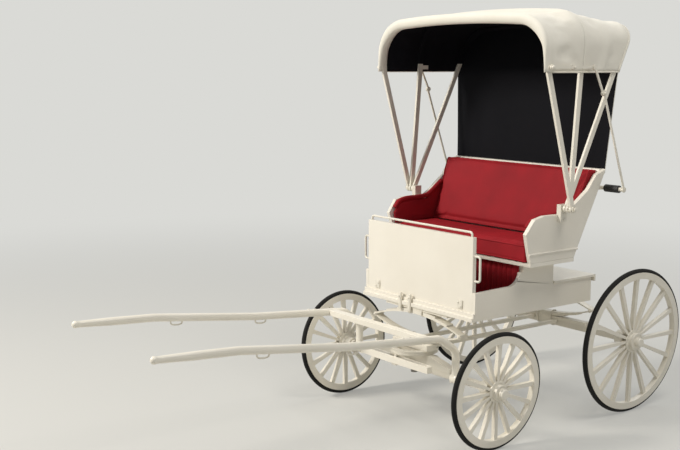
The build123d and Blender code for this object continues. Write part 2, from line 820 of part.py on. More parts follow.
def make_bow(name, inner, knee, lean, height, corner_radius):
    """One hood bow with its legs and hoop."""
    angle = math.radians(lean)
    outer = inner + bow_thickness
    knee_x = pivot_x + knee[0]
    knee_z = pivot_z + knee[1]
    hoop = Plane(
        origin=(knee_x, 0, knee_z),
        x_dir=(0, 1, 0),
        z_dir=(math.cos(angle), 0, -math.sin(angle)),
    )
    with BuildPart() as bow:
        for side in (1, -1):
            start = inner if side > 0 else -outer
            with BuildSketch(Plane.XZ.offset(-start - bow_thickness)):
                leg_angle = math.degrees(math.atan2(knee[1], knee[0]))
                leg_length = math.hypot(*knee)
                middle = (pivot_x + knee[0] / 2, pivot_z + knee[1] / 2)
                with Locations(middle):
                    Rectangle(leg_length, bow_width, rotation=leg_angle)
                with Locations((pivot_x, pivot_z)):
                    Circle(bow_eye_radius)
                with Locations((knee_x, knee_z)):
                    Circle(bow_width / 2)
                with Locations((pivot_x, pivot_z)):
                    Circle(pin_radius + running_clearance, mode=Mode.SUBTRACT)
            extrude(amount=bow_thickness)
        with BuildSketch(hoop.offset(-bow_width / 2)):
            for band, mode in ((0, Mode.ADD), (bow_thickness, Mode.SUBTRACT)):
                half = outer - band
                top = height - band
                shoulder_z = top - hood_crown
                with BuildSketch(mode=Mode.PRIVATE) as arch:
                    with BuildLine():
                        Polyline((-half, shoulder_z), (-half, -2), (half, -2), (half, shoulder_z))
                        ThreePointArc((half, shoulder_z), (0, top), (-half, shoulder_z))
                    make_face()
                    corners = arch.vertices().group_by(Axis.Y)[-1]
                    fillet(corners, corner_radius - band)
                add(arch.sketch, mode=mode)
        extrude(amount=bow_width)
        if name in knobs:
            for side in (1, -1):
                with BuildSketch(Plane.XZ.offset(-side * inner)):
                    with Locations((pivot_x + knobs[name][0], pivot_z + knobs[name][1])):
                        Circle(knob_radius)
                extrude(amount=-side * (knob_end - inner))
        if name == "middle_bow":
            for side in (1, -1):
                centre_y = side * (inner + bow_thickness / 4)
                with Locations((pivot_x + knob[0] + knob_plate_ahead, centre_y, pivot_z + knob[1])):
                    Box(knob_plate_length, bow_thickness / 2, knob_plate_height)
    save(bow, name)


for row in bow_table:
    make_bow(*row)


def make_link(name, start, end, layer, start_hole):
    """A flat prop iron on each side of the hood, from one pivot to the next."""
    with BuildPart() as link:
        for side in (1, -1):
            with BuildSketch(Plane.XZ.offset(-side * layer)):
                length = math.dist(start, end)
                angle = math.degrees(math.atan2(end[1] - start[1], end[0] - start[0]))
                with Locations(((start[0] + end[0]) / 2, (start[1] + end[1]) / 2)):
                    Rectangle(length, link_width, rotation=angle)
                with Locations(start, end):
                    Circle(link_eye_radius)
                with Locations(start):
                    Circle(start_hole + running_clearance, mode=Mode.SUBTRACT)
            extrude(amount=-side * prop_thickness)
    save(link, name)


knob_point = (pivot_x + knob[0], pivot_z + knob[1])
front_knob_point = (pivot_x + front_knob[0], pivot_z + front_knob[1])
rest_point = (rest_x, rest_z)
knuckle_point = (pivot_x + knuckle[0], pivot_z + knuckle[1])
front_knuckle = ((knob_point[0] + front_knob_point[0]) / 2, (knob_point[1] + front_knob_point[1]) / 2)
make_link("prop_upper", knob_point, knuckle_point, layer_2, knob_radius)
make_link("prop_lower", rest_point, knuckle_point, layer_3, prop_rest_radius)
make_link("hood_strut_rear", knob_point, front_knuckle, layer_1, knob_radius)
make_link("hood_strut_front", front_knob_point, front_knuckle, layer_2, knob_radius)

# Canopy: a cloth shell stretched over the bows, in two pieces that meet at the middle bow
rear_face = bow_width / 2 + fit_gap


def lean_plane(lean, offset=0):
    """A plane through the hood's pivots, leaning forward by an angle; local y runs up along it."""
    angle = math.radians(lean)
    plane = Plane(origin=(pivot_x, 0, pivot_z), x_dir=(0, 1, 0), z_dir=(math.cos(angle), 0, -math.sin(angle)))
    return plane.offset(offset)


def arch(half, top, low, corner_radius, band):
    """Outline of the hood across the carriage: straight sides, round corners, a low crown."""
    for inset, mode in ((0, Mode.ADD), (band, Mode.SUBTRACT)):
        if inset or mode == Mode.ADD:
            crown_top = top - inset
            side = half - inset
            shoulder_z = crown_top - hood_crown
            foot = low - inset
            with BuildSketch(mode=Mode.PRIVATE) as outline:
                with BuildLine():
                    Polyline((-side, shoulder_z), (-side, foot), (side, foot), (side, shoulder_z))
                    ThreePointArc((side, shoulder_z), (0, crown_top), (-side, shoulder_z))
                face = make_face()
                fillet(face.vertices().group_by(Axis.Y)[-1], corner_radius - inset)
            add(outline.sketch, mode=mode)


middle_half = middle_bow_inner + bow_thickness + fit_gap + canopy_thickness
rear_half = rear_bow_inner + bow_thickness + fit_gap + canopy_thickness
front_plane = Plane(origin=(hood_front, 0, pivot_z), x_dir=(0, 1, 0), z_dir=(1, 0, 0))
cloth_foot = valance_bottom - pivot_z - trim_allowance
roof_corner_radius = (hood_corner_radius + rear_corner_radius) / 2
# Sections of the cloth, flat where it lies on a bow
# Columns: plane, half width, crown height, foot before trimming, corner radius
front_shape = (valance_outer, front_crown, cloth_foot, hood_corner_radius)
middle_shape = (middle_half, middle_roof, cloth_foot, hood_corner_radius)
roof_shape = ((middle_half + rear_half) / 2, rear_roof, cloth_foot, roof_corner_radius)
rear_shape = (rear_half, rear_top, cloth_foot, rear_corner_radius)
front_cloth = (
    (front_plane, *front_shape),
    (front_plane.offset(-front_bow_land), *front_shape),
    (lean_plane(middle_lean, rear_face), *middle_shape),
    (lean_plane(middle_lean), *middle_shape),
)
rear_cloth = (
    (lean_plane(middle_lean), *middle_shape),
    (lean_plane(middle_lean, -rear_face), *middle_shape),
    (lean_plane(rear_roof_lean), *roof_shape),
    (lean_plane(rear_lean, rear_face), *rear_shape),
    (lean_plane(rear_lean, -rear_face), *rear_shape),
)


def knob_holes():
    """Clear holes in the valance for the knobs of the bows."""
    for side in (1, -1):
        for hole in (knob_point, front_knob_point):
            with BuildSketch(Plane.XZ.offset(-side * (valance_outer - valance_cut))) as opening:
                with Locations(hole):
                    Circle(knob_radius + hole_margin)
            extrude(opening.sketch, amount=-side * 2 * valance_cut, mode=Mode.SUBTRACT)


with BuildPart() as canopy_front:
    for plane, *shape in front_cloth:
        with BuildSketch(plane):
            arch(*shape, canopy_thickness)
    loft(ruled=True)
    split(bisect_by=Plane.XY.offset(valance_bottom), keep=Keep.TOP)
    knob_holes()
save(canopy_front, "canopy_front")

with BuildPart() as canopy_rear:
    for plane, *shape in rear_cloth:
        with BuildSketch(plane):
            arch(*shape, canopy_thickness)
    loft(ruled=True)
    with BuildSketch(rear_cloth[-1][0]):
        arch(*rear_shape, 0)
    extrude(amount=-canopy_thickness)
    split(bisect_by=Plane.XY.offset(valance_bottom), keep=Keep.TOP)
    knob_holes()
save(canopy_rear, "canopy_rear")

with BuildPart() as curtain:
    curtain_low = seat_top - curtain_overlap
    curtain_high = valance_bottom - fit_gap
    for level, rear_x, half in (
        (curtain_low, seat_top_rear - curtain_foot_behind, half_seat_top - curtain_foot_inset),
        (curtain_high, pivot_x - curtain_behind, rear_half - canopy_thickness - fit_gap),
    ):
        with BuildSketch(Plane.XY.offset(level)):
            with Locations((rear_x + canopy_thickness / 2, 0)):
                Rectangle(canopy_thickness, half * 2)
    loft()
save(curtain, "back_curtain")

# Shafts, their cross bar, and the singletree
shaft_pivot_x = front_axle_x + shaft_pivot_ahead
shaft_pivot_z = front_axle_top - axle_bar / 2 + shaft_pivot_rise
shaft_length = shaft_reach - shaft_knob_radius - shaft_pivot_ahead
# Corners of the shaft's centreline from its pivot: ahead, above
shaft_corners = ((0, 0), (0, 125), (95, 190), (585, 232), (1085, 296), (shaft_length, 316))
shaft_points = [Vector(shaft_pivot_x + ahead, 0, shaft_pivot_z + above) for ahead, above in shaft_corners]


def along(start, end, distance):
    """A point of a shaft's centreline, at a distance from one corner towards another."""
    return start + (end - start).normalized() * distance


def shaft_section(start, end, distance, side):
    """The plane across a shaft there, on one side of the carriage."""
    origin = along(start, end, distance) + Vector(0, side * shaft_spacing / 2, 0)
    return Plane(origin=origin, x_dir=(0, 1, 0), z_dir=(end - start).normalized())


heel, knee_low, knee_high, bend_rear, bend_front, tip = shaft_points
front_length = (tip - bend_front).length
for side_name, side in (("left", 1), ("right", -1)):
    with BuildPart() as shaft:
        shaft_y = side * shaft_spacing / 2
        with BuildLine(Plane.XZ.offset(-shaft_y)) as path:
            tug_rear = along(bend_front, tip, shaft_bend)
            corners = (heel, knee_low, knee_high, bend_rear, bend_front, tug_rear)
            FilletPolyline(*[(point.X, point.Z) for point in corners], radius=shaft_knee_radius)
        with BuildSketch(Plane.XY.offset(shaft_pivot_z)):
            with Locations((shaft_pivot_x, shaft_y)):
                Circle(shaft_radius)
        sweep(path=path.line)
        # A straight stretch of even thickness, then a taper to the tip and its knob
        with BuildSketch(shaft_section(bend_front, tip, shaft_bend, side)):
            Circle(shaft_radius)
        extrude(amount=tug_length)
        with BuildSketch(shaft_section(bend_front, tip, shaft_bend + tug_length, side)):
            Circle(shaft_radius)
        with BuildSketch(shaft_section(bend_front, tip, front_length, side)):
            Circle(shaft_tip_radius)
        loft(ruled=True)
        with Locations((tip.X, shaft_y, tip.Z)):
            Sphere(shaft_knob_radius)
        with BuildSketch(Plane.XZ.offset(-shaft_y - shaft_heel_width / 2)):
            with Locations((shaft_pivot_x, shaft_pivot_z)):
                Circle(shaft_heel_radius)
        extrude(amount=shaft_heel_width)
        with Locations((shaft_pivot_x, shaft_y, shaft_pivot_z)):
            Cylinder(
                coupling_pin_radius + running_clearance,
                shaft_heel_width * 2,
                rotation=(90, 0, 0),
                mode=Mode.SUBTRACT,
            )
    save(shaft, f"shaft_{side_name}")

with BuildPart() as crossbar:
    bar_length = shaft_spacing - 2 * shaft_radius
    bar_x = front_axle_x + crossbar_ahead
    slope = (bend_rear.Z - knee_high.Z) / (bend_rear.X - knee_high.X)
    bar_z = knee_high.Z + (bar_x - knee_high.X) * slope
    with Locations((bar_x, 0, bar_z)):
        Box(crossbar_width, bar_length, crossbar_height)
save(crossbar, "shaft_crossbar")

# Shaft couplings: lugs on the front axle with pins through the shafts' heels
lug_rear = front_axle_x + axle_bar / 2
lug_front = shaft_pivot_x + lug_ahead
with BuildPart() as couplings:
    pin_length = shaft_heel_width + 2 * (lug_gap + lug_thickness + pin_proud)
    for side in (1, -1):
        shaft_y = side * shaft_spacing / 2
        for ear in (-1, 1):
            ear_y = shaft_y + ear * (shaft_heel_width / 2 + lug_gap + lug_thickness / 2)
            with Locations(((lug_rear + lug_front) / 2, ear_y, shaft_pivot_z - lug_drop)):
                Box(lug_front - lug_rear, lug_thickness, lug_height)
        with Locations((shaft_pivot_x, shaft_y, shaft_pivot_z)):
            Cylinder(coupling_pin_radius, pin_length, rotation=(90, 0, 0))
save(couplings, "shaft_couplings")

tree_x = front_axle_x + singletree_ahead
tree_z = front_axle_top + singletree_rise
with BuildPart() as tree_bolt:
    bracket_rear = front_axle_x + axle_bed_width / 2
    bracket_front = tree_x + singletree_bolt_radius * 2
    bracket_top = tree_z - singletree_height / 2 - lug_gap
    with Locations(((bracket_rear + bracket_front) / 2, 0, bracket_top - tree_bracket_thickness / 2)):
        Box(bracket_front - bracket_rear, tree_bracket_width, tree_bracket_thickness)
    bolt_top = tree_z + singletree_height / 2 + tree_bolt_head
    bolt_bottom = bracket_top - tree_bracket_thickness
    with Locations((tree_x, 0, (bolt_bottom + bolt_top) / 2)):
        Cylinder(singletree_bolt_radius, bolt_top - bolt_bottom)
save(tree_bolt, "singletree_bolt")

with BuildPart() as singletree:
    with BuildSketch(Plane.XY.offset(tree_z - singletree_height / 2)):
        with BuildLine():
            half = singletree_length / 2
            Polyline(
                (tree_x - singletree_end_depth / 2, -half),
                (tree_x + singletree_end_depth / 2, -half),
                (tree_x + singletree_depth / 2, 0),
                (tree_x + singletree_end_depth / 2, half),
                (tree_x - singletree_end_depth / 2, half),
                (tree_x - singletree_depth / 2, 0),
                close=True,
            )
        make_face()
    extrude(amount=singletree_height)
    with Locations((tree_x, 0, tree_z)):
        Cylinder(singletree_bolt_radius + running_clearance, singletree_height * 2, mode=Mode.SUBTRACT)
    for side in (1, -1):
        with Locations((tree_x, side * (half - trace_eye_inset), tree_z)):
            Cylinder(trace_eye_radius, singletree_height * 2, mode=Mode.SUBTRACT)
save(singletree, "singletree")
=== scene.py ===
import math

import bmesh
import bpy
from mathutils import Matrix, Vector, noise


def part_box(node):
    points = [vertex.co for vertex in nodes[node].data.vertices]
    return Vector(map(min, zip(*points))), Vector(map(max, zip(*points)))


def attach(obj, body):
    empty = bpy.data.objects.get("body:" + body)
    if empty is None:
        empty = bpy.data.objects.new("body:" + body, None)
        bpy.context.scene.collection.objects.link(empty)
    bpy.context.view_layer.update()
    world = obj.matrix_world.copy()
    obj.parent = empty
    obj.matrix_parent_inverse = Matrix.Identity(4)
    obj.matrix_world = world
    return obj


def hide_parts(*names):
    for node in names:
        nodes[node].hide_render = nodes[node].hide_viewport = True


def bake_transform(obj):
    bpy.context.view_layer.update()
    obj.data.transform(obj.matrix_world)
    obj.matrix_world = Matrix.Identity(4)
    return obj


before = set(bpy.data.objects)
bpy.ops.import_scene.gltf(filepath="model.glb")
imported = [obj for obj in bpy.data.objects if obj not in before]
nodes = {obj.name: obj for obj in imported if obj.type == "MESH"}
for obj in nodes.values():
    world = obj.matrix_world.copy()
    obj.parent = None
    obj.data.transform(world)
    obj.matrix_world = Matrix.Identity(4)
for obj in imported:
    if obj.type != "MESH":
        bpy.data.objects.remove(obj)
scene = bpy.context.scene
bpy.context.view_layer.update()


# Colour and shading


def colour(code):
    """An sRGB hex colour as the linear RGBA that the shaders take."""
    channels = [int(code[i : i + 2], 16) / 255 for i in (1, 3, 5)]
    linear = [c / 12.92 if c <= 0.04045 else ((c + 0.055) / 1.055) ** 2.4 for c in channels]
    return (*linear, 1.0)


def add_node(material, kind, values=None, links=None, **settings):
    """A shader node with its settings, socket values and incoming links."""
    tree = material.node_tree
    node = tree.nodes.new(kind)
    for name, value in settings.items():
        setattr(node, name, value)
    for socket, value in (values or {}).items():
        node.inputs[socket].default_value = value
    for socket, source in (links or {}).items():
        tree.links.new(source, node.inputs[socket])
    return node


def surface(name, **values):
    """A material with one shader, whose own sockets hold what is the same all over."""
    material = bpy.data.materials.new(name)
    material.use_nodes = True
    shader = material.node_tree.nodes["Principled BSDF"]
    for socket, value in values.items():
        shader.inputs[socket.replace("_", " ")].default_value = value
    return material, shader


def wire(material, source, shader, socket):
    """Link a node's output to one of the shader's sockets."""
    material.node_tree.links.new(source, shader.inputs[socket])


def mottle(material, shader, place, base, shade, scale, detail):
    """Slow, cloudy changes between two tones of one colour."""
    cloudy = add_node(
        material,
        "ShaderNodeTexNoise",
        {"Scale": scale, "Detail": detail},
        {"Vector": place.outputs["Object"]},
    )
    tone = add_node(
        material,
        "ShaderNodeMix",
        {"A": colour(base), "B": colour(shade)},
        {"Factor": cloudy.outputs["Fac"]},
        data_type="RGBA",
    )
    wire(material, tone.outputs[2], shader, "Base Color")


def brushed_enamel(name, base, shade, grain, strength, roughness=0.34):
    """Coach enamel laid on by brush over primed wood or iron: a soft gloss that shows the strokes
    and the grain under them, a little uneven in tone, and greyer where dust stays."""
    material, shader = surface(name, Roughness=roughness, IOR=1.5, Coat_Weight=0.25, Coat_Roughness=0.2)
    place = add_node(material, "ShaderNodeTexCoord")
    mottle(material, shader, place, base, shade, 5.0, 5.0)
    stretch = add_node(
        material, "ShaderNodeMapping", {"Scale": grain}, {"Vector": place.outputs["Object"]}
    )
    strokes = add_node(
        material, "ShaderNodeTexNoise", {"Scale": 1.0, "Detail": 6.0}, {"Vector": stretch.outputs["Vector"]}
    )
    bump = add_node(
        material,
        "ShaderNodeBump",
        {"Strength": strength, "Distance": 0.001},
        {"Height": strokes.outputs["Fac"]},
    )
    wire(material, bump.outputs["Normal"], shader, "Normal")
    return material


def woven(name, base, shade, thread_mm, roughness, gloss):
    """Cloth of crossed threads, drawn at a spacing that still shows from a few metres away,
    with slow changes of tone where it has weathered."""
    material, shader = surface(name, Roughness=roughness, IOR=1.45, Specular_IOR_Level=gloss)
    place = add_node(material, "ShaderNodeTexCoord")
    mottle(material, shader, place, base, shade, 3.5, 6.0)
    threads = add_node(
        material,
        "ShaderNodeTexNoise",
        {"Scale": 1000.0 / thread_mm, "Detail": 2.0},
        {"Vector": place.outputs["Object"]},
    )
    creases = add_node(
        material, "ShaderNodeTexNoise", {"Scale": 14.0, "Detail": 4.0}, {"Vector": place.outputs["Object"]}
    )
    height = add_node(
        material,
        "ShaderNodeMath",
        {1: 0.5},
        {0: threads.outputs["Fac"], 2: creases.outputs["Fac"]},
        operation="MULTIPLY_ADD",
    )
    bump = add_node(
        material, "ShaderNodeBump", {"Strength": 0.35, "Distance": 0.004}, {"Height": height.outputs[0]}
    )
    wire(material, bump.outputs["Normal"], shader, "Normal")
    return material


def pile(name, base, shade, tuft_mm, roughness, sheen):
    """Cut pile, as on velour and carpet: matt, with a soft bright edge and a fine rough grain."""
    material, shader = surface(name, Roughness=roughness, IOR=1.4, Sheen_Weight=sheen, Sheen_Roughness=0.35)
    shader.inputs["Sheen Tint"].default_value = colour(base)
    place = add_node(material, "ShaderNodeTexCoord")
    mottle(material, shader, place, base, shade, 9.0, 5.0)
    tufts = add_node(
        material,
        "ShaderNodeTexNoise",
        {"Scale": 1000.0 / tuft_mm, "Detail": 3.0},
        {"Vector": place.outputs["Object"]},
    )
    bump = add_node(
        material, "ShaderNodeBump", {"Strength": 0.5, "Distance": 0.002}, {"Height": tufts.outputs["Fac"]}
    )
    wire(material, bump.outputs["Normal"], shader, "Normal")
    return material


def plain_grain(name, base, shade, grain_mm, depth, **values):
    """A moulded, cast or worked surface: an even base with fine grain and a slow change of tone."""
    material, shader = surface(name, **values)
    place = add_node(material, "ShaderNodeTexCoord")
    mottle(material, shader, place, base, shade, 12.0, 4.0)
    fine = add_node(
        material,
        "ShaderNodeTexNoise",
        {"Scale": 1000.0 / grain_mm, "Detail": 3.0},
        {"Vector": place.outputs["Object"]},
    )
    bump = add_node(
        material, "ShaderNodeBump", {"Strength": depth, "Distance": 0.001}, {"Height": fine.outputs["Fac"]}
    )
    wire(material, bump.outputs["Normal"], shader, "Normal")
    return material


# Board under many coats: nearly smooth, with long faint strokes along the carriage
white_panel = brushed_enamel("enamelled_board", "#F1ECE0", "#E4DED0", (6.0, 60.0, 140.0), 0.25)
# Open-grained ash lying along the carriage: its grain shows as fine lines through the enamel
white_timber = brushed_enamel("enamelled_ash", "#F0EBDF", "#DFD9C9", (8.0, 90.0, 90.0), 0.3)
# The same ash, bent or stood up, so that its grain runs up the piece
white_upright = brushed_enamel("enamelled_bent_ash", "#F0EBDF", "#DFD9C9", (90.0, 90.0, 8.0), 0.3)
# Iron from the hammer: no grain, small dents, and a duller gloss than the wood
white_iron = brushed_enamel("enamelled_wrought_iron", "#EDE8DC", "#DAD4C4", (70.0, 70.0, 70.0), 0.35, 0.4)
# Canvas proofed with a thin coat: a matt sheen over the weave, with soft weather marks
hood_canvas = woven("coated_hood_canvas", "#EFEBE0", "#DFDACC", 1.6, 0.62, 0.5)
# Black drill inside the hood: it takes nearly all the light, and only its threads' edges show
hood_lining = woven("woven_black_lining", "#0A0A0E", "#131318", 1.8, 0.9, 0.2)
# Velour with its loops cut: deep red in the folds, with a soft bright rim where it turns away
red_velour = pile("cut_red_velour", "#A8121F", "#7E0C17", 1.5, 0.75, 0.6)
# Wool tufts: coarser and darker than the velour, with hardly any sheen
red_carpet = pile("tufted_red_carpet", "#5E0D14", "#3F080D", 4.0, 0.95, 0.2)
# Solid rubber out of a mould, dusty from the road: black and nearly without shine
tyre_rubber = plain_grain(
    "moulded_tyre_rubber",
    "#0E0D0C",
    "#171614",
    2.0,
    0.3,
    Roughness=0.8,
    IOR=1.52,
    Specular_IOR_Level=0.3,
)
# Finer rubber of the prop blocks, worn smooth: a dim, broad shine
block_rubber = plain_grain("moulded_block_rubber", "#141414", "#1E1E1E", 1.5, 0.25, Roughness=0.6, IOR=1.52)
# Steel off the lathe under a film of grease: the one bare metal, grey and slick
greased_steel = plain_grain(
    "turned_greased_steel", "#8C8982", "#6E6B64", 1.0, 0.2, Roughness=0.35, Metallic=1.0
)


# Mesh helpers


def settle(piece):
    """Apply a piece's modifiers, so that its mesh is final."""
    graph = bpy.context.evaluated_depsgraph_get()
    mesh = bpy.data.meshes.new_from_object(piece.evaluated_get(graph))
    piece.modifiers.clear()
    piece.data = mesh
    return piece


def new_piece(name, points, faces, materials, smooth=True):
    """A mesh object from its points and faces."""
    mesh = bpy.data.meshes.new(name)
    mesh.from_pydata([tuple(p) for p in points], [], faces)
    mesh.update()
    for material in materials:
        mesh.materials.append(material)
    mesh.polygons.foreach_set("use_smooth", [smooth] * len(mesh.polygons))
    piece = bpy.data.objects.new(name, mesh)
    bpy.context.scene.collection.objects.link(piece)
    return piece


def grid_faces(rows, columns, closed=False):
    """Quads between rows of points."""
    faces = []
    for start in range(0, (rows - 1) * columns, columns):
        for c in range(columns if closed else columns - 1):
            after = (c + 1) % columns
            faces.append((start + c, start + after, start + columns + after, start + columns + c))
    return faces


def thicken(piece, thickness, inner_material=1):
    """Give a sheet its thickness on its inner side, with a second material there."""
    modifier = piece.modifiers.new("thickness", "SOLIDIFY")
    modifier.thickness = thickness
    modifier.offset = -1.0
    modifier.material_offset = inner_material
    modifier.material_offset_rim = 0
    return settle(piece)


def tube(name, points, radius, material, sides=8, closed=False):
    """A round cord of material along a line of points, such as piping, a hem or a rod."""
    line = [Vector(p) for p in points]
    count = len(line)
    ring_points, faces = [], []
    side = None
    for i, point in enumerate(line):
        ahead = line[(i + 1) % count] if closed or i < count - 1 else point
        behind = line[i - 1] if closed or i > 0 else point
        direction = (ahead - behind).normalized()
        if side is None:
            side = direction.orthogonal().normalized()
        side = (side - direction * side.dot(direction)).normalized()
        up = direction.cross(side)
        for k in range(sides):
            angle = 2 * math.pi * k / sides
            ring_points.append(point + radius * (math.cos(angle) * side + math.sin(angle) * up))
    for i in range(count if closed else count - 1):
        near, far = i * sides, (i + 1) % count * sides
        for k in range(sides):
            after = (k + 1) % sides
            faces.append((near + k, near + after, far + after, far + k))
    if not closed:
        faces.append(tuple(reversed(range(sides))))
        faces.append(tuple(range((count - 1) * sides, count * sides)))
    return new_piece(name, ring_points, faces, [material])


# CAD nodes

# CAD faces meet without sharing vertices: points this near become one
weld_reach = 0.00001
sharp_angle = math.radians(40)
# Columns: material, width of the softened edges in m, nodes
finishes = (
    (
        white_panel,
        0.0015,
        ("body_floor", "body_side_left", "body_side_right", "tailboard", "seat_riser_boards", "boot_lid",
         "dash_panel", "dash_sill", "seat_board", "seat_side_left", "seat_side_right", "seat_back"),
    ),
    (
        white_timber,
        0.002,
        ("front_axle_bed", "rear_axle_bed", "headblock", "reach_poles", "shaft_left", "shaft_right",
         "shaft_crossbar", "singletree"),
    ),
    (
        white_upright,
        0.002,
        ("rear_bow", "middle_bow", "front_bow", "front_left_wheel", "front_right_wheel", "rear_left_wheel",
         "rear_right_wheel"),
    ),
    (
        white_iron,
        0.0012,
        ("front_axle", "rear_axle", "fifth_wheel_lower", "fifth_wheel_upper", "front_spring", "rear_spring",
         "front_spring_bar", "rear_spring_irons", "dash_rail", "dash_handles", "hood_pivots", "prop_rests",
         "prop_upper", "prop_lower", "hood_strut_rear", "hood_strut_front", "shaft_couplings",
         "singletree_bolt"),
    ),
    (tyre_rubber, 0.0, ("front_left_tyre", "front_right_tyre", "rear_left_tyre", "rear_right_tyre")),
    (block_rubber, 0.0015, ("prop_blocks",)),
    (greased_steel, 0.001, ("kingpin",)),
)
for material, edge, names in finishes:
    for name in names:
        node = nodes[name]
        node.data.materials.clear()
        node.data.materials.append(material)
        if edge:
            weld = node.modifiers.new("weld", "WELD")
            weld.merge_threshold = weld_reach
            rounding = node.modifiers.new("soft edges", "BEVEL")
            rounding.width = edge
            rounding.segments = 2
            rounding.limit_method = "ANGLE"
            rounding.angle_limit = sharp_angle
            rounding.harden_normals = False

# Hood

pivot = Vector((-0.5635, 0.0, 0.994))
valance_z = 1.580
hood_top = 1.865
hood_front = -0.3644
cloth = 0.0035
# Each hoop across the carriage: rise of its arch, corner sizes, and half widths
crown = 0.026
front_corner, rear_corner = 0.165, 0.110
front_half, middle_half, rear_half = 0.5505, 0.5323, 0.5153
# Shares of a corner's size: its reach along the top, its drop, and the pull of its curve's ends
corner_reach, corner_drop, corner_pull = 0.98, 0.95, 0.53
# Steps up a hoop's straight side, round its corner and across its crown, and of the cloth over it
side_steps, corner_steps, crown_steps = 12, 16, 24
arch_steps = 84


def arch_line(half, height, corner, steps=arch_steps):
    """The hood's outline across the carriage, from one foot over to the other: (y, rise) points."""
    radius = (half**2 + crown**2) / (2 * crown)
    y_in = half - corner * corner_reach
    root = math.sqrt(radius**2 - y_in**2)
    top = Vector((y_in, height - radius + root))
    knee = Vector((half, top.y - corner * corner_drop))
    slope = Vector((1, -y_in / root)).normalized()
    handles = (knee, knee + Vector((0, corner * corner_pull)), top + slope * corner * corner_pull, top)
    side = [Vector((half, knee.y * i / side_steps)) for i in range(side_steps)]
    for i in range(corner_steps + 1):
        t = i / corner_steps
        weights = ((1 - t) ** 3, 3 * t * (1 - t) ** 2, 3 * t * t * (1 - t), t**3)
        side.append(sum((w * h for w, h in zip(weights, handles)), Vector((0, 0))))
    middle = []
    for i in range(1, crown_steps):
        y = y_in * (1 - 2 * i / crown_steps)
        middle.append(Vector((y, height - radius + math.sqrt(radius**2 - y * y))))
    line = side + middle + [Vector((-p.x, p.y)) for p in reversed(side)]
    lengths = [0.0]
    for before, after in zip(line, line[1:]):
        lengths.append(lengths[-1] + (after - before).length)
    even = []
    step = 0
    for i in range(steps + 1):
        target = lengths[-1] * i / steps
        while step < len(line) - 2 and lengths[step + 1] < target:
            step += 1
        share = (target - lengths[step]) / (lengths[step + 1] - lengths[step])
        even.append(line[step].lerp(line[step + 1], share))
    return even


def station(lean, drop, ahead=0.0):
    """Foot and crown of the cloth on a plane that leans by an angle, ahead of one through the pivots."""
    angle = math.radians(lean)
    base = pivot.x + ahead / math.cos(angle)
    heights = (valance_z, hood_top - drop - math.sin(angle) * ahead)
    return [Vector((base + (z - pivot.z) * math.tan(angle), 0, z)) for z in heights]


# Drop of the front hoop, of the rear cloth between its bows, and of the rear hoop, from the hood's top
front_drop, roof_drop, rear_drop = 0.027, 0.034, 0.049
front_foot, front_top = Vector((hood_front, 0, valance_z)), Vector((hood_front, 0, hood_top - front_drop))
# Where the cloth leaves the front bow
land = Vector((-0.042, 0, 0))
# Degrees by which the middle hoop, the rear cloth between its bows, and the rear hoop lean back
middle_lean, roof_lean, rear_lean = -4.64, -18.05, -26.04
# From a bow's middle to the edge of its outer face, where the cloth leaves it
bow_face, back_face = 0.0123, 0.0163
rear_foot, rear_top = station(rear_lean, rear_drop, -back_face)
roof_half = (middle_half + rear_half) / 2
roof_corner = (front_corner + rear_corner) / 2
# Columns: foot, crown, half width, corner radius, slack of the cloth from there to the next row
front_rows = (
    (front_foot + land, front_top + land, front_half, front_corner, 0.010),
    (*station(middle_lean, 0.0, bow_face), middle_half, front_corner, 0.0),
    (*station(middle_lean, 0.0), middle_half, front_corner, 0.0),
)
rear_rows = (
    (*station(middle_lean, 0.0), middle_half, front_corner, 0.0),
    (*station(middle_lean, 0.0, -bow_face), middle_half, front_corner, 0.006),
    (*station(roof_lean, roof_drop), roof_half, roof_corner, 0.005),
    (*station(rear_lean, rear_drop, bow_face), rear_half, rear_corner, 0.0),
    (rear_foot, rear_top, rear_half, rear_corner, 0.0),
)
# The front edge's padded roll round the bow. Columns: ahead of the hood's front, share of the
# roll's depth inside the hood's outline
roll_section = (
    (-0.046, 0.70), (-0.043, 0.90), (-0.032, 1.0), (-0.018, 1.02), (-0.006, 0.95), (0.001, 0.75),
    (0.004, 0.50), (0.003, 0.25), (-0.002, 0.05), (-0.010, -0.05), (-0.022, -0.05), (-0.034, 0.0),
)
# The roll's depth at its foot, what it gains on the way up, and the share of the height where it is full
roll_thin, roll_gain, roll_full_at = 0.014, 0.030, 0.85


def roll_depth(height):
    """Depth of the front roll at a share of the hood's height: thin at the foot, full at the top."""
    share = min(1.0, height / roll_full_at)
    return roll_thin + roll_gain * share * share * (3 - 2 * share)


def arch_row(foot, top, half, corner, inset=0.0, slack=0.0, seed=0.0):
    """One row of the cloth across the carriage, inset within the arch, with loose folds in it."""
    up = (top - foot).normalized()
    line = arch_line(half, (top - foot).length, corner)
    row = []
    for i, spot in enumerate(line):
        behind, ahead = line[max(i - 1, 0)], line[min(i + 1, len(line) - 1)]
        along = (ahead - behind).normalized()
        outward = Vector((along.y, -along.x))
        # Broad folds along the hoop, with smaller ones on them
        broad = noise.noise(Vector((i * 0.33, seed, 0.0)))
        small = noise.noise(Vector((i * 0.8, seed * 2, 7.0)))
        fold = broad + 0.6 * small
        depth = inset * roll_depth(spot.y / (top - foot).length) + slack * (1.0 - 0.9 * fold)
        moved = spot - outward * depth
        row.append(foot + up * moved.y + Vector((0, moved.x, 0)))
    return row


